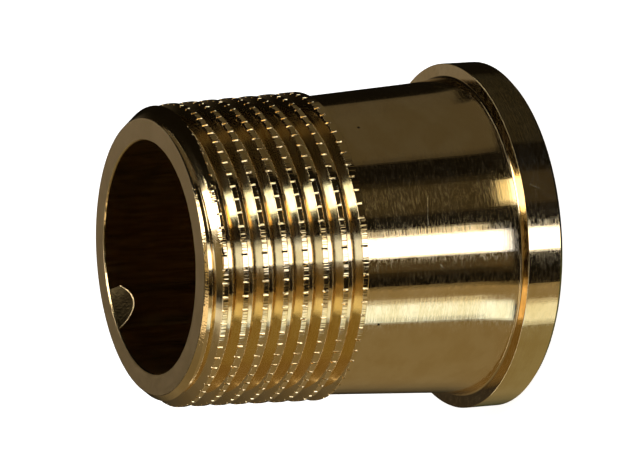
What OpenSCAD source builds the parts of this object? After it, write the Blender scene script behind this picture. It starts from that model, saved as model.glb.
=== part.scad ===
// Male taper tailpiece for a union valve: a short brass tube with a pipe
// thread on one end and, on the other, a plain collar that a union nut pulls
// against the valve. It is turned from one forging, so it is a single solid.
// It stands on the sealing face of its collar. The axis of the waterway is Z,
// and Z runs from the sealing face towards the threaded mouth.

/* [Tube] */
// Overall length, from the sealing face to the mouth
length = 32.1; // [30:0.1:60]
// Diameter of the waterway
bore_d = 20; // [18:0.1:20.4]
// Edge break at both ends of the waterway
rim_break = 0.12; // [0.05:0.01:0.25]
// Diameter of the barrel where it meets the collar
barrel_collar_d = 27.44; // [26.9:0.02:27.8]
// Diameter of the barrel where it meets the thread
barrel_thread_d = 25.74; // [25:0.02:26.2]

/* [Collar] */
// Outside diameter of the collar
collar_d = 30.2; // [29.2:0.1:36]
// Thickness of the collar
collar_t = 3.4; // [2:0.1:6]
// Chamfer round the sealing face
collar_chamfer = 0.35; // [0.1:0.05:0.8]
// Edge break round the front of the collar
collar_break = 0.08; // [0.05:0.01:0.2]
// Fillet between the barrel and the collar
collar_fillet = 0.5; // [0.2:0.1:0.8]

/* [Taper thread] */
// Diameter over the crests at the gauge plane
gauge_d = 26.441; // [26.3:0.001:26.6]
// Distance of the gauge plane from the mouth
gauge_l = 9.5; // [8.6:0.1:10.4]
// Length of the thread, from the mouth to its end shoulder
thread_l = 14.5; // [13:0.1:16]
// Pitch of the thread
pitch = 1.814; // [1.75:0.001:1.87]
// Depth of the thread
thread_depth = 1.02; // [0.8:0.02:1.1]
// Width of the flat on each crest
crest_flat = 0.45; // [0.35:0.05:0.5]
// Length of the lead chamfer
lead_l = 1.37; // [1.1:0.01:1.6]
// Outside diameter of the flat face at the mouth
mouth_d = 23.7; // [23.2:0.1:23.9]

/* [Driving lugs] */
// Length of the lugs, from the mouth inwards
lug_l = 12; // [6:0.5:20]
// Width of a lug where it leaves the wall
lug_w = 3.95; // [3.4:0.05:4.2]
// Height of a lug above the wall
lug_h = 1.2; // [0.8:0.1:1.6]
// Radius of the rounded back of a lug
lug_round = 3; // [2.8:0.1:3.4]
// Direction of the first lug, seen from the mouth
lug_turn = 116.5; // [0:0.5:180]

/* [Hidden] */
$fn = 128;

bore_r = bore_d / 2;
collar_r = collar_d / 2;
barrel_r0 = barrel_collar_d / 2;
barrel_r1 = barrel_thread_d / 2;
mouth_r = mouth_d / 2;
shoulder_z = length - thread_l;

// Pipe-thread taper: 1 in 16 on the diameter
taper = 1 / 32;
flank = 27.5;
function crest_r(d) = gauge_d / 2 + (d - gauge_l) * taper;

// The first groove starts inside the lead chamfer
first_groove = 0.566;
groove_top = (pitch - crest_flat) / 2;
groove_foot = groove_top - thread_depth * tan(flank);
grooves = floor((thread_l - first_groove - groove_top - 0.2) / pitch);

// Slope of the barrel, and the fillet circle that touches it and the collar
barrel_k = (barrel_r0 - barrel_r1) / (shoulder_z - collar_t);
barrel_n = sqrt(1 + barrel_k * barrel_k);
fillet_cx = barrel_r0 + collar_fillet * (barrel_n - barrel_k);
fillet_cz = collar_t + collar_fillet;
fillet_tx = fillet_cx - collar_fillet / barrel_n;
fillet_tz = fillet_cz - collar_fillet * barrel_k / barrel_n;

// Lug bevel at the mouth, as radius lost per length, and where it starts
lug_bevel = 0.82;
lug_start = 0.15;
// Offset of the rounded back from the middle of the lug
lug_shift = 0.5;

// Half section of the turned body, without its thread grooves
module blank_section() {
    polygon([
        [bore_r + rim_break, 0],
        [collar_r - collar_chamfer, 0],
        [collar_r, collar_chamfer],
        [collar_r, collar_t - collar_break],
        [collar_r - collar_break, collar_t],
        [barrel_r0, collar_t],
        [barrel_r1, shoulder_z],
        [crest_r(thread_l), shoulder_z],
        [crest_r(lead_l), length - lead_l],
        [mouth_r, length],
        [bore_r + rim_break, length],
        [bore_r, length - rim_break],
        [bore_r, rim_break]
    ]);
    difference() {
        polygon([
            [barrel_r0 - 0.6, collar_t - 0.6],
            [fillet_cx, collar_t - 0.6],
            [fillet_cx, fillet_cz],
            [fillet_tx, fillet_tz],
            [barrel_r0 - 0.6, fillet_tz]
        ]);
        translate([fillet_cx, fillet_cz]) circle(r = collar_fillet);
    }
}

// Section of one thread groove, at a distance from the mouth
module groove_section(d) {
    r = crest_r(d) - thread_depth;
    over = 0.6;
    wide = groove_foot + (thread_depth + over) * tan(flank);
    polygon([
        [r, length - d - groove_foot],
        [r + thread_depth + over, length - d - wide],
        [r + thread_depth + over, length - d + wide],
        [r, length - d + groove_foot]
    ]);
}

// The turned body. The thread is drawn as rings of its true section, at its
// true pitch and taper.
module turned_body() {
    rotate_extrude() difference() {
        blank_section();
        for (i = [0 : grooves]) groove_section(first_groove + i * pitch);
    }
}

// One driving lug on the wall of the waterway: a steep flank on one side that
// takes the key, a rounded back on the other, and a bevel at each end
module lug() {
    intersection() {
        translate([0, 0, length - lug_l - 1]) linear_extrude(height = lug_l + 1)
            intersection() {
                translate([bore_r + lug_round - lug_h, -lug_shift]) circle(r = lug_round);
                translate([bore_r - 3, -lug_w / 2]) square([5, 6]);
            }
        rotate_extrude() polygon([
            [bore_r + 1, length - lug_start + 0.08],
            [bore_r + 0.08 * lug_bevel, length - lug_start + 0.08],
            [bore_r - 2, length - lug_start - 2 / lug_bevel],
            [bore_r - 2, length - lug_l + 2],
            [bore_r + 0.2, length - lug_l - 0.2],
            [bore_r + 1, length - lug_l - 0.2]
        ]);
    }
}

module tailpiece() {
    color([0.78, 0.60, 0.27]) union() {
        turned_body();
        for (k = [0, 180]) rotate([0, 0, lug_turn + k]) lug();
    }
}

tailpiece();
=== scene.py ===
import math

import bmesh
import bpy
import numpy as np
from mathutils import Matrix, Vector


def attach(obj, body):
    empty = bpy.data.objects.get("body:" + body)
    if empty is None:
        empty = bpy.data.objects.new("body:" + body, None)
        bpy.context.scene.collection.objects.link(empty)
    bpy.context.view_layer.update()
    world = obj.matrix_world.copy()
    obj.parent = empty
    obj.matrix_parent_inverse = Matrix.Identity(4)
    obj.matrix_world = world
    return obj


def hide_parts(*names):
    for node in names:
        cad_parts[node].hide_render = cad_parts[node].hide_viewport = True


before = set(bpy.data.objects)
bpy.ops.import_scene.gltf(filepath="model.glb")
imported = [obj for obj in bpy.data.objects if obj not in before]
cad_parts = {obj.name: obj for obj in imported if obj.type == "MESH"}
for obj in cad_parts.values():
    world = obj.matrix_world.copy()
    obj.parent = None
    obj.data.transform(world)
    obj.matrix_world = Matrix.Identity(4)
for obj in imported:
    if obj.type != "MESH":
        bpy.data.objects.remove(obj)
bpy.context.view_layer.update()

# ---------------------------------------------------------------- dimensions
# All lengths in millimetres. d is the distance from the threaded mouth, so
# z = LENGTH - d. The angle f runs round the axis: 0 points along -X, 90 along +Y.
LENGTH = 32.1
BORE_R = 10.0
RIM = 0.12
MOUTH_R = 11.85
PITCH = 1.814
TAPER = 1.0 / 32.0
GAUGE_R, GAUGE_L = 26.441 / 2, 9.5
THREAD_L = 14.5
DEPTH = 1.02
CREST = 0.225            # half width of the crest flat
FLANK = math.radians(27.5)
LEAD_L = 1.37
FIRST_CREST = 1.473      # first crest, on the side f = 270
NOTCHES = 69             # straight notches across the crests
NOTCH_DEPTH = 0.11       # at the side towards the mouth; it runs out towards the collar
BARREL_R0, BARREL_R1 = 27.44 / 2, 25.74 / 2
COLLAR_R, COLLAR_T = 15.094, 3.4
COLLAR_CHAMFER, COLLAR_BREAK, FILLET = 0.35, 0.08, 0.15
LUG_F = 63.5             # the first lug; the second is opposite
LUG_W, LUG_H, LUG_ROUND, LUG_SHIFT = 3.95, 1.2, 3.0, 0.5
LUG_L, LUG_BEVEL, LUG_START = 12.0, 0.82, 0.15

# Columns of points round the axis: seven for each notch, five of them in it
PER = 7
COLS = NOTCHES * PER
GAP = 360.0 / NOTCHES
OFFSETS = np.array([0.0, 0.33, 0.42, 1.9, 3.3, GAP - 0.42, GAP - 0.372])
F = (np.arange(NOTCHES)[:, None] * GAP + OFFSETS[None, :]).reshape(-1)
CUT = np.tile([NOTCH_DEPTH, 0.9 * NOTCH_DEPTH, 0, 0, 0, 0, 0.9 * NOTCH_DEPTH], NOTCHES)
WHICH = (np.repeat(np.arange(NOTCHES), PER) + np.tile([0, 0, 0, 0, 0, 0, 1], NOTCHES)) % NOTCHES
rng = np.random.RandomState(7)
UNEVEN = rng.uniform(0.94, 1.0, (24, NOTCHES))


def crest_r(d):
    return GAUGE_R + (d - GAUGE_L) * TAPER


LEAD_K = (crest_r(LEAD_L) - MOUTH_R) / LEAD_L

# Thread form: depth below the crest at a distance s from the crest's middle. The
# flank towards the mouth runs into the root with a small round, the one towards
# the collar is a touch steeper and meets it in a sharper corner.
RC = 0.03
HALF = PITCH / 2


class Side:
    def __init__(self, flank, root):
        turn = math.pi / 2 - flank
        self.k, self.root = math.tan(flank), root
        self.s0 = CREST - RC * math.tan(turn / 2)
        self.s1 = self.s0 + RC * math.sin(turn)
        self.s3 = CREST + DEPTH * self.k + root * math.tan(turn / 2)
        self.s2 = self.s3 - root * math.sin(turn)

    def form(self, s):
        a = RC - np.sqrt(np.maximum(RC * RC - np.clip(s - self.s0, 0, None) ** 2, 0))
        b = (s - CREST) / self.k
        c = DEPTH - self.root + np.sqrt(np.maximum(self.root ** 2 - np.clip(self.s3 - s, 0, None) ** 2, 0))
        out = np.where(s < self.s1, a, np.where(s < self.s2, b, c))
        return np.where(s > self.s3, DEPTH, np.where(s < self.s0, 0.0, out))

    def rows(self):
        return [self.s0, self.s1, CREST + NOTCH_DEPTH * self.k, CREST + 0.3 * self.k, self.s2, (self.s2 + self.s3) / 2, self.s3]


NEAR, FAR = Side(FLANK, 0.06), Side(math.radians(25.5), 0.04)


def form(s):
    return np.where(s < 0, NEAR.form(-s), FAR.form(s))


def smooth(a, b, x):
    t = np.clip((x - a) / (b - a), 0, 1)
    return t * t * (3 - 2 * t)


def thread_r(f, d, cut, which):
    """Radius of the threaded end at angle f (degrees, 0 to 360) and distance d from the mouth."""
    u = (d - FIRST_CREST - PITCH * (f - 270.0) / 360.0) / PITCH
    turn = np.round(u)
    s = (u - turn) * PITCH
    middle = FIRST_CREST + PITCH * (f - 270.0) / 360.0 + (np.floor(u) + 0.5) * PITCH
    fade = 1 - smooth(13.75, 14.4, middle)
    r = crest_r(d) - form(s) * fade
    deep = cut * UNEVEN[(turn.astype(int) + 6) % 24, which] * np.clip(0.53 - 0.47 * s / CREST, 0.0, 1.0)
    return np.where((cut > 0) & (np.abs(s) < CREST + 0.08), np.minimum(r, crest_r(d) - deep), r)


points, quads, zones = [], [], []
THREAD, CREST_Z, TURNED, FACE, BORE, LUG = range(6)


def block(p, zone, wrap=0):
    """Adds a grid of points p[row, column] in (r, f, d); the last column joins the first, shifted by wrap rows."""
    rows = p.shape[0]
    base = sum(len(x) for x in points)
    points.append(p.reshape(-1, 3))
    i = np.arange(rows - 1)[:, None]
    j = np.arange(COLS)[None, :]
    last = j == COLS - 1
    right = np.where(last, 0, j + 1)
    lower = np.where(last, np.minimum(i + wrap, rows - 1), i)
    upper = np.where(last, np.minimum(i + 1 + wrap, rows - 1), i + 1)
    quads.append(np.stack([
        base + (i * COLS + j + 0 * right),
        base + (lower * COLS + right),
        base + (upper * COLS + right),
        base + ((i + 1) * COLS + j + 0 * right),
    ], axis=-1).reshape(-1, 4))
    zones.append(np.broadcast_to(zone, (rows - 1, COLS)).reshape(-1))


# ---------------------------------------------------------------- the thread
turn = [-HALF] + [-x for x in NEAR.rows()[::-1]] + [0.0] + FAR.rows()
per_turn = len(turn)
MOUTH_D, END_D = 0.045, THREAD_L - 0.04
rows = np.array([k * PITCH + x for k in range(-3, 11) for x in turn])
d = FIRST_CREST + PITCH * (F[None, :] - 270.0) / 360.0 + rows[:, None]
d = np.clip(d, MOUTH_D, END_D)
r = thread_r(F[None, :], d, CUT[None, :], WHICH[None, :])
# where the lead chamfer cuts the thread, the nearest point of each column moves onto the cut
fine = np.linspace(MOUTH_D, 2.2, 900)
for j in range(COLS):
    gap = thread_r(F[j], fine, CUT[j], WHICH[j]) - (MOUTH_R + LEAD_K * fine)
    for i in np.nonzero((gap[:-1] < 0) != (gap[1:] < 0))[0]:
        x = fine[i] + (fine[i + 1] - fine[i]) * gap[i] / (gap[i] - gap[i + 1])
        n = int(np.argmin(np.abs(d[:, j] - x)))
        if MOUTH_D < d[n, j] < END_D:
            d[n, j] = x
            r[n, j] = MOUTH_R + LEAD_K * x
lead = MOUTH_R + LEAD_K * d
r = np.minimum(r, lead)
on_lead = r > lead - 1e-6
on_crest = (crest_r(d) - r < 0.03) | ((CUT[None, :] > 0) & (crest_r(d) - r < 1.3 * NOTCH_DEPTH))
flat = np.roll(on_crest, -1, axis=1) & on_crest
flat = flat[:-1] & flat[1:]
cone = np.roll(on_lead, -1, axis=1).astype(int) + on_lead
cone = (cone[:-1] + cone[1:]) >= 3
block(np.stack([r, np.broadcast_to(F, r.shape), d], axis=-1), np.where(flat | cone, CREST_Z, THREAD), wrap=per_turn)

# ---------------------------------------------------------------- the rest of the outline
end_r = thread_r(F, np.full(COLS, END_D), CUT, WHICH)
COLLAR_D = LENGTH - COLLAR_T
barrel_k = (BARREL_R0 - BARREL_R1) / (28.8 - THREAD_L)
FLARE_D = 24.5


def barrel_r(x):
    """The barrel is a cone that flares a little towards the collar."""
    return BARREL_R1 + barrel_k * (x - THREAD_L) + 0.0028 * max(0.0, x - FLARE_D) ** 3


line = []                # rows of radius, distance and the zone of the strip that follows


def add(radius, distance, zone):
    line.append((radius, distance, zone))


add(end_r, END_D, THREAD)
add(end_r - 0.035, THREAD_L, THREAD)
add(BARREL_R1 + 0.14, THREAD_L, THREAD)
add(BARREL_R1 + 0.045, THREAD_L + 0.04, THREAD)
add(barrel_r(THREAD_L + 0.14), THREAD_L + 0.14, TURNED)
foot_d = COLLAR_D - FILLET
for x in (17.5, 20.5, 23.0, 24.5, 25.2, 25.9, 26.5, 27.1, 27.6, 28.0, 28.3):
    add(barrel_r(x), x, TURNED)
foot_r = barrel_r(foot_d)
start = math.atan((barrel_r(foot_d) - barrel_r(foot_d - 0.01)) / 0.01)
fillet_r = FILLET / (1 - math.sin(start))
for x in np.linspace(start, math.pi / 2, 6):
    add(foot_r + fillet_r * (math.cos(start) - math.cos(x)), foot_d + fillet_r * (math.sin(x) - math.sin(start)), TURNED)
add(foot_r + fillet_r * math.cos(start) + 0.12, COLLAR_D, TURNED)
add(COLLAR_R - COLLAR_BREAK, COLLAR_D, TURNED)
add(COLLAR_R - 0.022, COLLAR_D + 0.022, TURNED)
add(COLLAR_R, COLLAR_D + COLLAR_BREAK, TURNED)
for x in (0.33, 0.67):
    add(COLLAR_R, COLLAR_D + COLLAR_BREAK + x * (COLLAR_T - COLLAR_BREAK - COLLAR_CHAMFER), TURNED)
add(COLLAR_R, LENGTH - COLLAR_CHAMFER, TURNED)
add(COLLAR_R - COLLAR_CHAMFER * 0.5, LENGTH - COLLAR_CHAMFER * 0.5, TURNED)
add(COLLAR_R - COLLAR_CHAMFER, LENGTH, FACE)
for x in (14.0, 12.3, 10.7):
    add(x, LENGTH, FACE)
add(BORE_R + RIM, LENGTH, BORE)
add(BORE_R, LENGTH - RIM, BORE)
for x in (27.0, 22.0, 17.0):
    add(BORE_R, x, BORE)
plain = np.zeros((len(line), COLS, 3))
for n, (a, b, _) in enumerate(line):
    plain[n, :, 0] = a
    plain[n, :, 1] = F
    plain[n, :, 2] = b

# ---------------------------------------------------------------- bore with its lugs
# Rows between the lug's far end and the mouth. The columns that a lug takes run
# across its rounded back, and the last one is the foot of its steep flank.
wall_d = np.array([12.0, 11.0, 8.5, 6.0, 3.5, 1.5, 1.4, 1.1, 0.8, 0.5, LUG_START])
bore = np.zeros((len(wall_d), COLS, 3))
bore[:, :, 0] = BORE_R
bore[:, :, 1] = F
bore[:, :, 2] = wall_d[:, None]
t_end = LUG_W / 2
t_all = np.linspace(-2.4, 0, 4001)
x_all = BORE_R + LUG_ROUND - LUG_H - np.sqrt(LUG_ROUND ** 2 - (t_all - LUG_SHIFT) ** 2)
t_start = t_all[np.nonzero(np.hypot(x_all, t_all) <= BORE_R)[0][0]]
lugs, steep = [], []
for centre in (LUG_F, LUG_F + 180.0):
    taken = np.nonzero(np.abs(F - centre) < 11.8)[0]
    lugs += taken[:-1].tolist()
    steep.append(taken[-2])
    for m, j in enumerate(taken):
        if m == len(taken) - 1:
            bore[:, j, 1] = centre + math.degrees(math.asin(t_end / BORE_R))
            continue
        t = t_start + (t_end - t_start) * m / (len(taken) - 2)
        x = BORE_R + LUG_ROUND - LUG_H - math.sqrt(LUG_ROUND ** 2 - (t - LUG_SHIFT) ** 2)
        top = min(math.hypot(x, t), BORE_R)
        high = BORE_R - top
        near = LUG_START + high / LUG_BEVEL
        far = LUG_L - high
        burr = rng.uniform(0.3, 1.0) * min(0.08, 0.3 * high)
        ds = [LUG_L, far, far - (far - near) * 0.25, (far + near) / 2, near + 0.16, near + 0.08, near,
              LUG_START + 0.75 * (near - LUG_START), LUG_START + 0.5 * (near - LUG_START),
              LUG_START + 0.25 * (near - LUG_START), LUG_START]
        rs = [BORE_R, top, top, top, top, top - burr, top, BORE_R - 0.75 * high, BORE_R - 0.5 * high, BORE_R - 0.25 * high, BORE_R]
        for n in range(len(ds)):
            bore[n, j] = (rs[n], centre + math.degrees(math.asin(t / rs[n])), ds[n])

# ---------------------------------------------------------------- the mouth
# The rim of the bore keeps a fine, uneven burr.
burr = rng.uniform(-1, 1, COLS)
burr = (burr + np.roll(burr, 1)) / 2
rim = np.zeros((6, COLS, 3))
rim[:, :, 1] = F
rim[0, :, 0], rim[0, :, 2] = BORE_R, RIM
rim[1, :, 0], rim[1, :, 2] = BORE_R + RIM * 0.62 + 0.018 * burr, RIM * 0.30
rim[2, :, 0], rim[2, :, 2] = BORE_R + RIM + 0.03 * burr, 0.0
rim[3, :, 0], rim[3, :, 2] = BORE_R + 0.9, 0.012
rim[4, :, 0], rim[4, :, 2] = MOUTH_R - 0.03, 0.024
rim[5, :, 0], rim[5, :, 2] = MOUTH_R + LEAD_K * MOUTH_D, MOUTH_D
zone = [z for _, _, z in line] + [BORE] * len(wall_d) + [BORE, FACE, FACE, FACE, CREST_Z]
zone = np.repeat(np.array(zone)[:, None], COLS, axis=1)
# the lug's faces take the near-black material: painted shade
zone[len(line) + 6:len(line) + len(wall_d) - 1, lugs] = LUG
zone[len(line) + 5, lugs] = FACE
zone[len(line) + 5:len(line) + len(wall_d) - 1, steep] = FACE
block(np.concatenate([plain, bore, rim], axis=0), zone)

# ---------------------------------------------------------------- one closed mesh
p = np.concatenate(points)
q = np.concatenate(quads)
ang = np.radians(p[:, 1])
xyz = np.stack([-p[:, 0] * np.cos(ang), p[:, 0] * np.sin(ang), LENGTH - p[:, 2]], axis=1)
_, first, inverse = np.unique(np.round(xyz * 1e5).astype(np.int64), axis=0, return_index=True, return_inverse=True)
q = np.asarray(inverse).reshape(-1)[q]
faces, face_zone = [], []
for quad, z in zip(q.tolist(), np.concatenate(zones).tolist()):
    f = [v for n, v in enumerate(quad) if v != quad[n - 1]]
    if len(f) >= 3 and len(set(f)) == len(f):
        faces.append(f)
        face_zone.append(z)
used = np.unique(np.concatenate([np.array(f) for f in faces]))
new = np.full(len(first), -1)
new[used] = np.arange(len(used))
xyz = xyz[first][used]
faces = [new[f].tolist() for f in faces]
a, b, c = (xyz[[f[k] for f in faces]] for k in range(3))
extra = [f for f in faces if len(f) == 4]
volume = np.einsum("ij,ij->i", a, np.cross(b, c)).sum()
a, b, c = (xyz[[f[k] for f in extra]] for k in (0, 2, 3))
volume += np.einsum("ij,ij->i", a, np.cross(b, c)).sum()
if volume < 0:
    faces = [f[::-1] for f in faces]

mesh = bpy.data.meshes.new("tailpiece_body")
mesh.from_pydata((xyz * 0.001).tolist(), [], faces)
mesh.polygons.foreach_set("material_index", face_zone)
mesh.polygons.foreach_set("use_smooth", [True] * len(mesh.polygons))
mesh.set_sharp_from_angle(angle=math.radians(36))
sharp = np.zeros(len(mesh.edges), dtype=bool)
mesh.attributes["sharp_edge"].data.foreach_get("value", sharp)
# shading normals: large faces decide, so flats stay flat up to their rounded edges
n_loops = len(mesh.loops)
corner_edge = np.zeros(n_loops, dtype=np.int32)
mesh.loops.foreach_get("edge_index", corner_edge)
starts = np.zeros(len(mesh.polygons), dtype=np.int32)
sizes = np.zeros(len(mesh.polygons), dtype=np.int32)
areas = np.zeros(len(mesh.polygons))
normals = np.zeros(len(mesh.polygons) * 3)
mesh.polygons.foreach_get("loop_start", starts)
mesh.polygons.foreach_get("loop_total", sizes)
mesh.polygons.foreach_get("area", areas)
mesh.polygons.foreach_get("normal", normals)
owner = np.repeat(np.arange(len(starts)), sizes)
following = np.arange(n_loops) + 1
following[starts + sizes - 1] = starts
order = np.argsort(corner_edge, kind="stable")
one, two = order[0::2], order[1::2]
joined = ~sharp[corner_edge[one]]
one, two = one[joined], two[joined]
left = np.concatenate([one, following[one]])
right = np.concatenate([following[two], two])
label = np.arange(n_loops)
while True:
    least = np.minimum(label[left], label[right])
    before = label.copy()
    np.minimum.at(label, left, least)
    np.minimum.at(label, right, least)
    if (before == label).all():
        break
weight = (areas * 1e6) ** 2
total = np.zeros((n_loops, 3))
np.add.at(total, label, normals.reshape(-1, 3)[owner] * weight[owner][:, None])
total = total[label]
total /= np.linalg.norm(total, axis=1)[:, None]
mesh.normals_split_custom_set(total.tolist())
check = bmesh.new()
check.from_mesh(mesh)
print("tailpiece mesh:", len(check.verts), "points,", sum(len(f.verts) - 2 for f in check.faces), "triangles,",
      sum(1 for e in check.edges if len(e.link_faces) != 2), "open edges,", round(check.calc_volume(signed=True) * 1e9, 1), "mm3")
check.free()
body = bpy.data.objects.new("tailpiece_body", mesh)
bpy.context.scene.collection.objects.link(body)


# ---------------------------------------------------------------- materials
class Tree:
    """Small helper round a node tree."""

    def __init__(self, tree):
        self.tree = tree

    def node(self, kind, **settings):
        n = self.tree.nodes.new(kind)
        for k, v in settings.items():
            setattr(n, k, v)
        return n

    def put(self, socket, value):
        if hasattr(value, "is_output"):
            self.tree.links.new(value, socket)
        else:
            socket.default_value = value

    def math(self, op, a, b=None):
        n = self.node("ShaderNodeMath", operation=op)
        self.put(n.inputs[0], a)
        if b is not None:
            self.put(n.inputs[1], b)
        return n.outputs[0]

    def ramp(self, x, a, b, lo=0.0, hi=1.0):
        """Smooth step of x from lo at a to hi at b."""
        n = self.node("ShaderNodeMapRange", interpolation_type="SMOOTHSTEP")
        for name, v in (("Value", x), ("From Min", a), ("From Max", b), ("To Min", lo), ("To Max", hi)):
            self.put(n.inputs[name], v)
        return n.outputs["Result"]

    def window(self, x, a, b, soft):
        return self.math("MULTIPLY", self.ramp(x, a - soft, a + soft), self.ramp(x, b + soft, b - soft))

    def noise(self, vector, scale, detail=2.0, rough=0.5):
        """Noise at so many waves per millimetre along each axis."""
        m = self.node("ShaderNodeMapping")
        self.put(m.inputs["Vector"], vector)
        m.inputs["Scale"].default_value = [1000.0 * s for s in scale]
        n = self.node("ShaderNodeTexNoise")
        self.put(n.inputs["Vector"], m.outputs["Vector"])
        n.inputs["Scale"].default_value = 1.0
        n.inputs["Detail"].default_value = detail
        n.inputs["Roughness"].default_value = rough
        return n.outputs["Fac"]

    def mix(self, fac, a, b):
        n = self.node("ShaderNodeMix", data_type="RGBA")
        self.put(n.inputs["Factor"], fac)
        self.put(n.inputs[6], a)
        self.put(n.inputs[7], b)
        return n.outputs[2]

    def bump(self, height, microns, normal=None):
        n = self.node("ShaderNodeBump")
        n.inputs["Strength"].default_value = 1.0
        n.inputs["Distance"].default_value = microns * 1e-6
        self.put(n.inputs["Height"], height)
        if normal is not None:
            self.put(n.inputs["Normal"], normal)
        return n.outputs["Normal"]


def brass(name, light, dark, rough, grains, waves, spots=(), rings=None, scratches=()):
    """A brass with cloudy colour, uneven roughness and tool marks.

    grains: waves per mm of the roughness along X, Y, Z.
    waves: (waves per mm along X, Y, Z, height in microns, detail) for each kind of mark."""
    m = bpy.data.materials.new(name)
    m.use_nodes = True
    t = Tree(m.node_tree)
    shader = m.node_tree.nodes["Principled BSDF"]
    shader.inputs["Metallic"].default_value = 1.0
    at = t.node("ShaderNodeTexCoord").outputs["Object"]
    cloud = t.noise(at, (0.35, 0.35, 0.5), 3.0, 0.55)
    color = t.mix(t.ramp(cloud, 0.35, 0.65), (*light, 1), (*dark, 1))
    grain = t.noise(at, grains, 2.0)
    roughness = t.ramp(grain, 0.3, 0.7, rough[0], rough[1])
    normal = None
    for x, y, z, microns, detail in waves:
        normal = t.bump(t.noise(at, (x, y, z), detail), microns, normal)
    if rings:
        flat_xy = t.node("ShaderNodeVectorMath", operation="MULTIPLY")
        t.put(flat_xy.inputs[0], at)
        flat_xy.inputs[1].default_value = (1000.0, 1000.0, 0.0)
        length = t.node("ShaderNodeVectorMath", operation="LENGTH")
        t.put(length.inputs[0], flat_xy.outputs[0])
        n = t.node("ShaderNodeTexNoise", noise_dimensions="1D")
        t.put(n.inputs["W"], length.outputs["Value"])
        n.inputs["Scale"].default_value = rings[0]
        n.inputs["Detail"].default_value = 2.0
        normal = t.bump(n.outputs["Fac"], rings[1], normal)
    for spot, size in spots:
        far = t.node("ShaderNodeVectorMath", operation="DISTANCE")
        t.put(far.inputs[0], at)
        far.inputs[1].default_value = [0.001 * v for v in spot]
        pit = t.ramp(far.outputs["Value"], 0.0013 * size, 0.0005 * size)
        color = t.mix(pit, color, (0.05, 0.035, 0.015, 1))
    for start, end, width in scratches:
        start, end = Vector(start) * 0.001, Vector(end) * 0.001
        away = t.node("ShaderNodeVectorMath", operation="SUBTRACT")
        t.put(away.inputs[0], at)
        away.inputs[1].default_value = start
        along = t.node("ShaderNodeVectorMath", operation="DOT_PRODUCT")
        t.put(along.inputs[0], away.outputs[0])
        along.inputs[1].default_value = (end - start) / (end - start).length_squared
        foot = t.node("ShaderNodeVectorMath", operation="SCALE")
        foot.inputs[0].default_value = end - start
        t.put(foot.inputs["Scale"], t.math("MINIMUM", t.math("MAXIMUM", along.outputs["Value"], 0.0), 1.0))
        off = t.node("ShaderNodeVectorMath", operation="DISTANCE")
        t.put(off.inputs[0], away.outputs[0])
        t.put(off.inputs[1], foot.outputs[0])
        mark = t.ramp(off.outputs["Value"], 0.001 * width, 0.0004 * width)
        color = t.mix(mark, color, (0.93, 0.75, 0.44, 1))
        roughness = t.math("MAXIMUM", roughness, t.math("MULTIPLY", mark, 0.27))
    t.put(shader.inputs["Base Color"], color)
    t.put(shader.inputs["Roughness"], roughness)
    if normal is not None:
        t.put(shader.inputs["Normal"], normal)
    return m


GOLD, DEEP = (0.88, 0.68, 0.37), (0.82, 0.61, 0.30)
PITS = (((9.783, -8.551, 15.52), 0.13), ((-7.03, -10.892, 16.016), 0.13))
# hairline scratches and specks on the barrel and the collar: two ends and half the width
SCRATCHES = (
    ((3.377, -12.792, 11.512), (2.275, -13.023, 11.679), 0.035),
    ((2.275, -13.023, 11.679), (1.091, -13.167, 11.82), 0.035),
    ((3.972, -14.561, 2.619), (3.538, -14.672, 1.85), 0.035),
    ((1.014, -13.403, 7.977), (0.079, -13.438, 8.018), 0.03),
    ((-3.048, -12.768, 13.263), (-4.404, -12.372, 13.179), 0.03),
    ((-2.277, -13.071, 10.903), (-2.546, -13.034, 10.67), 0.05),
    ((-3.264, -12.758, 12.57), (-3.35, -12.735, 12.55), 0.05),
)
mats = {
    THREAD: brass("brass_thread", GOLD, DEEP, (0.08, 0.14), (0.3, 0.3, 8.0), [(0.05, 0.05, 7.0, 0.5, 1.0)]),
    CREST_Z: brass("brass_crest", GOLD, DEEP, (0.07, 0.12), (5.0, 5.0, 0.5), [(7.0, 7.0, 0.3, 16.0, 1.0)]),
    TURNED: brass("brass_turned", GOLD, DEEP, (0.04, 0.17), (2.0, 2.0, 12.0),
                  [(0.03, 0.03, 6.0, 3.0, 2.0), (10.0, 10.0, 12.0, 1.6, 1.0)], PITS, None, SCRATCHES),
    FACE: brass("brass_face", (0.82, 0.61, 0.32), (0.76, 0.56, 0.28), (0.33, 0.42), (3.0, 3.0, 3.0), [(1.5, 1.5, 1.5, 1.0, 2.0)], (), (9.0, 2.0)),
    # the bore's brass is darker than the outside brass: painted shade inside the bore
    BORE: brass("brass_bore", (0.78, 0.58, 0.29), (0.71, 0.51, 0.23), (0.12, 0.20), (3.0, 3.0, 0.3), [(3.0, 3.0, 0.15, 4.0, 2.0)]),
    # the lug's brass is painted near-black: painted shade on the lug and its bevel
    LUG: brass("brass_lug_painted_shade", (0.044, 0.031, 0.013), (0.015, 0.010, 0.004), (0.30, 0.42), (4.0, 4.0, 4.0), [(5.0, 5.0, 3.0, 40.0, 2.0)]),
}
for key in sorted(mats):
    mesh.materials.append(mats[key])

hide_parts("tailpiece")
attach(body, "root")

# ---------------------------------------------------------------- floor
bpy.ops.mesh.primitive_plane_add(size=4.0, location=(0, 0, 0))
floor = bpy.context.object
floor.name = "floor"
paper = bpy.data.materials.new("floor")
paper.use_nodes = True
shader = paper.node_tree.nodes["Principled BSDF"]
shader.inputs["Base Color"].default_value = (0.8, 0.8, 0.8, 1)
shader.inputs["Roughness"].default_value = 0.9
shader.inputs["Emission Color"].default_value = (1, 1, 1, 1)
shader.inputs["Emission Strength"].default_value = 0.88
floor.data.materials.append(paper)
# the floor takes no part in the reflections: light reaches the part from all round
floor.visible_glossy = False
floor.visible_shadow = False
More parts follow.
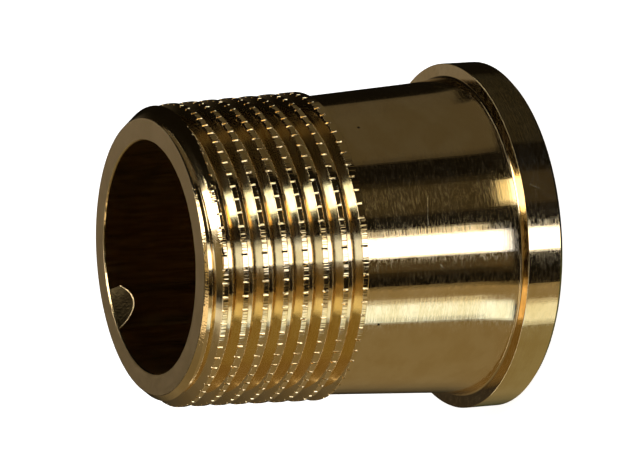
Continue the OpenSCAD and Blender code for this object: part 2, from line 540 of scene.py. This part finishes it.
# a dark disc below the floor, seen only in reflections: painted shade for the reflections down the bore
bpy.ops.mesh.primitive_circle_add(vertices=64, radius=0.014, fill_type="NGON", location=(0, 0, -0.0006))
shade_disc = bpy.context.object
shade_disc.name = "painted_bore_shade"
shade_paint = bpy.data.materials.new("painted_bore_shade")
shade_paint.use_nodes = True
shader = shade_paint.node_tree.nodes["Principled BSDF"]
shader.inputs["Base Color"].default_value = (0.005, 0.004, 0.003, 1)
shader.inputs["Roughness"].default_value = 0.9
shade_disc.data.materials.append(shade_paint)

# ---------------------------------------------------------------- studio light
# Soft boxes and screens round the part, drawn on the sky by direction. East is the angle round
# the vertical from the camera's side towards +X, height the angle above the horizon, in degrees.
world = bpy.data.worlds.new("studio")
bpy.context.scene.world = world
world.use_nodes = True
for n in list(world.node_tree.nodes):
    world.node_tree.nodes.remove(n)
w = Tree(world.node_tree)
axes = w.node("ShaderNodeSeparateXYZ")
w.put(axes.inputs[0], w.node("ShaderNodeTexCoord").outputs["Generated"])
X, Y, Z = axes.outputs
east = w.math("MULTIPLY", w.math("ARCTAN2", X, w.math("MULTIPLY", Y, -1.0)), 180 / math.pi)
height = w.math("MULTIPLY", w.math("ARCSINE", Z), 180 / math.pi)
total = None


def lamp(mask, color):
    global total
    n = w.node("ShaderNodeVectorMath", operation="SCALE")
    n.inputs[0].default_value = color
    w.put(n.inputs["Scale"], mask)
    if total is None:
        total = n.outputs[0]
        return
    s = w.node("ShaderNodeVectorMath", operation="ADD")
    w.put(s.inputs[0], total)
    w.put(s.inputs[1], n.outputs[0])
    total = s.outputs[0]


def patch(a0, a1, soft_a, h0, h1, soft_h, color):
    lamp(w.math("MULTIPLY", w.window(east, a0, a1, soft_a), w.window(height, h0, h1, soft_h)), color)


def grey(v):
    return (v, v, v)


def warm(v):
    return (1.07 * v, 0.85 * v, 0.48 * v)


patch(-400, 400, 1, -100, 100, 1, warm(0.005))
# long soft box in front
patch(-12.7, 1.8, 1.0, -36, -9.7, 1.0, (1.75, 1.95, 2.8))
patch(-12.7, 1.8, 1.0, -36, -14, 1.0, (1.5, 1.5, 1.2))
patch(1.8, 7.0, 1.0, -22.6, -19.2, 0.7, (1.8, 1.7, 1.5))
patch(-17.0, 5.0, 2.0, -75, -36, 1.0, (1.2, 1.7, 3.4))
patch(-25, -14, 4, -20.5, -9, 1.2, (0.06, 0.042, 0.017))
# soft box low on the -X side, with its darker screen, and the wide screen beyond it
patch(-63.5, -49, 2.2, -19.7, -8.5, 0.7, (1.03, 1.08, 0.98))
patch(-61.0, -46.5, 2.2, -22.8, -19.7, 0.7, (1.03, 1.08, 0.98))
patch(-63.5, -49, 2.2, -30, -22.8, 0.7, (1.03, 1.08, 0.98))
patch(-62.0, -48.8, 2.2, -75, -30, 1.5, (1.03, 1.10, 1.0))
patch(-63.5, -49, 2.2, -20, -8.5, 1.5, (0.25, 0.45, 0.85))
patch(-50, -37.5, 1.2, -75, 60, 4, warm(0.25))
patch(-38, -14, 3, -75, -34, 3, warm(0.09))
patch(-38.4, -36.6, 0.5, -52, -3, 3, warm(0.2))
screen = w.math("MULTIPLY", w.window(east, -400, -64, 5), w.ramp(east, -176, -128))
lamp(w.math("MULTIPLY", screen, w.window(height, -80, 60, 6)), warm(0.165))
lamp(w.math("MULTIPLY", screen, w.window(height, -80, 0, 6)), warm(0.047))
patch(-172, -62, 4, -80, -26, 2, (0.04, 0.055, 0.02))
patch(-76, -46, 4, 40, 55, 3, (1.2, 1.0, 0.75))
patch(-60, -40, 8, 8, 38, 6, warm(0.3))
patch(-22, 14, 4, 51, 57.5, 1.5, warm(0.65))
# soft box low on the +X side, and the dim screen beyond it
patch(33.5, 53.5, 1.5, -51, -40.5, 1.5, (3.5, 5.0, 9.0))
patch(18, 41, 4, -36, -12, 3, warm(0.03))
patch(61, 110, 3.0, -25.0, -10.5, 0.9, (0.080, 0.067, 0.044))
patch(110, 131, 3.0, -25.0, -19.6, 0.7, (0.080, 0.067, 0.044))
patch(61, 131, 3.0, -60, -25.0, 0.9, (0.010, 0.010, 0.008))
# thin bowed tube round the front, just above the horizon, which the notches catch
bow = w.math("ADD", height, w.math("MULTIPLY", w.math("POWER", w.math("ABSOLUTE", east), 2.0), 0.00087))
tube = w.window(bow, 2.4, 5.4, 0.6)
lamp(w.math("MULTIPLY", w.window(east, -126, -17, 3), tube), grey(2.9))
lamp(w.math("MULTIPLY", w.window(east, 9, 118, 3), tube), grey(2.4))
# screen behind, for the faces that look away from the camera
patch(165, 400, 14, 0, 60, 8, (0.19, 0.168, 0.142))
patch(-400, -128, 10, 0, 55, 6, (0.03, 0.025, 0.02))
# long soft box on the +X side that runs overhead
low = w.math("ADD", w.math("MULTIPLY", Y, -0.12), w.math("MULTIPLY", w.math("MAXIMUM", Y, 0.0), -0.26))
wide = w.math("ADD", w.math("MULTIPLY", Y, -0.10), w.math("MULTIPLY", w.math("MAXIMUM", Y, 0.0), 0.04))
across = w.math("DIVIDE", w.math("SUBTRACT", w.math("SUBTRACT", X, 0.24), low), w.math("ADD", wide, 0.16))
run = w.math("MULTIPLY", w.window(across, 0.0, 1.0, 0.05), w.ramp(Y, 0.36, 0.32))
lamp(w.math("MULTIPLY", run, w.window(Z, -0.11, 0.0, 0.04)), grey(3.2))
above = w.math("MULTIPLY", w.window(across, -0.5, 1.0, 0.06), w.ramp(Y, 0.36, 0.32))
lamp(w.math("MULTIPLY", above, w.ramp(Z, 0.56, 0.66)), grey(5.5))
lamp(w.math("MULTIPLY", run, w.window(Z, -0.235, 0.0, 0.015)), (1.15, 1.0, 0.62))
lamp(w.math("MULTIPLY", run, w.window(Z, -0.29, 0.0, 0.02)), grey(0.022))
# small boxes near the zenith
zenith = w.math("MULTIPLY", w.window(X, -0.46, -0.28, 0.03), w.math("MULTIPLY", w.window(Y, 0.08, 0.36, 0.03), w.ramp(Z, 0.5, 0.6)))
lamp(zenith, grey(1.0))
lamp(w.math("MULTIPLY", w.ramp(height, 68, 78), w.ramp(X, 0.1, 0.0)), warm(0.18))

studio = w.node("ShaderNodeBackground")
w.put(studio.inputs["Color"], total)
studio.inputs["Strength"].default_value = 1.0
white = w.node("ShaderNodeBackground")
white.inputs["Color"].default_value = (0.95, 0.95, 0.95, 1)
white.inputs["Strength"].default_value = 1.0
pick = w.node("ShaderNodeMixShader")
w.put(pick.inputs[0], w.node("ShaderNodeLightPath").outputs["Is Camera Ray"])
w.put(pick.inputs[1], studio.outputs[0])
w.put(pick.inputs[2], white.outputs[0])
w.put(w.node("ShaderNodeOutputWorld").inputs["Surface"], pick.outputs[0])

# ---------------------------------------------------------------- camera
E, T = math.radians(24.43), math.radians(3.965)
PX = 11.72               # pixels per millimetre at the mouth
FOCAL = 5555.0           # pixels
right = Vector((-math.sin(T), -math.cos(T) * math.sin(E), -math.cos(E) * math.cos(T)))
up = Vector((math.cos(T), -math.sin(T) * math.sin(E), -math.cos(E) * math.sin(T)))
back = right.cross(up)
mouth = Vector((0, 0, LENGTH))
place = mouth - right * ((148.51 - 320) / PX) + up * ((257.18 - 231) / PX) + back * (FOCAL / PX)
cam = bpy.data.objects.new("camera", bpy.data.cameras.new("camera"))
bpy.context.scene.collection.objects.link(cam)
cam.data.sensor_fit = "HORIZONTAL"
cam.data.sensor_width = 36.0
cam.data.lens = 36.0 * FOCAL / 640.0
cam.data.clip_start, cam.data.clip_end = 0.01, 10.0
turned = Matrix((right, up, back)).transposed().to_4x4()
turned.translation = place * 0.001
cam.matrix_world = turned
bpy.context.scene.camera = cam
bpy.context.scene.view_settings.view_transform = "Standard"
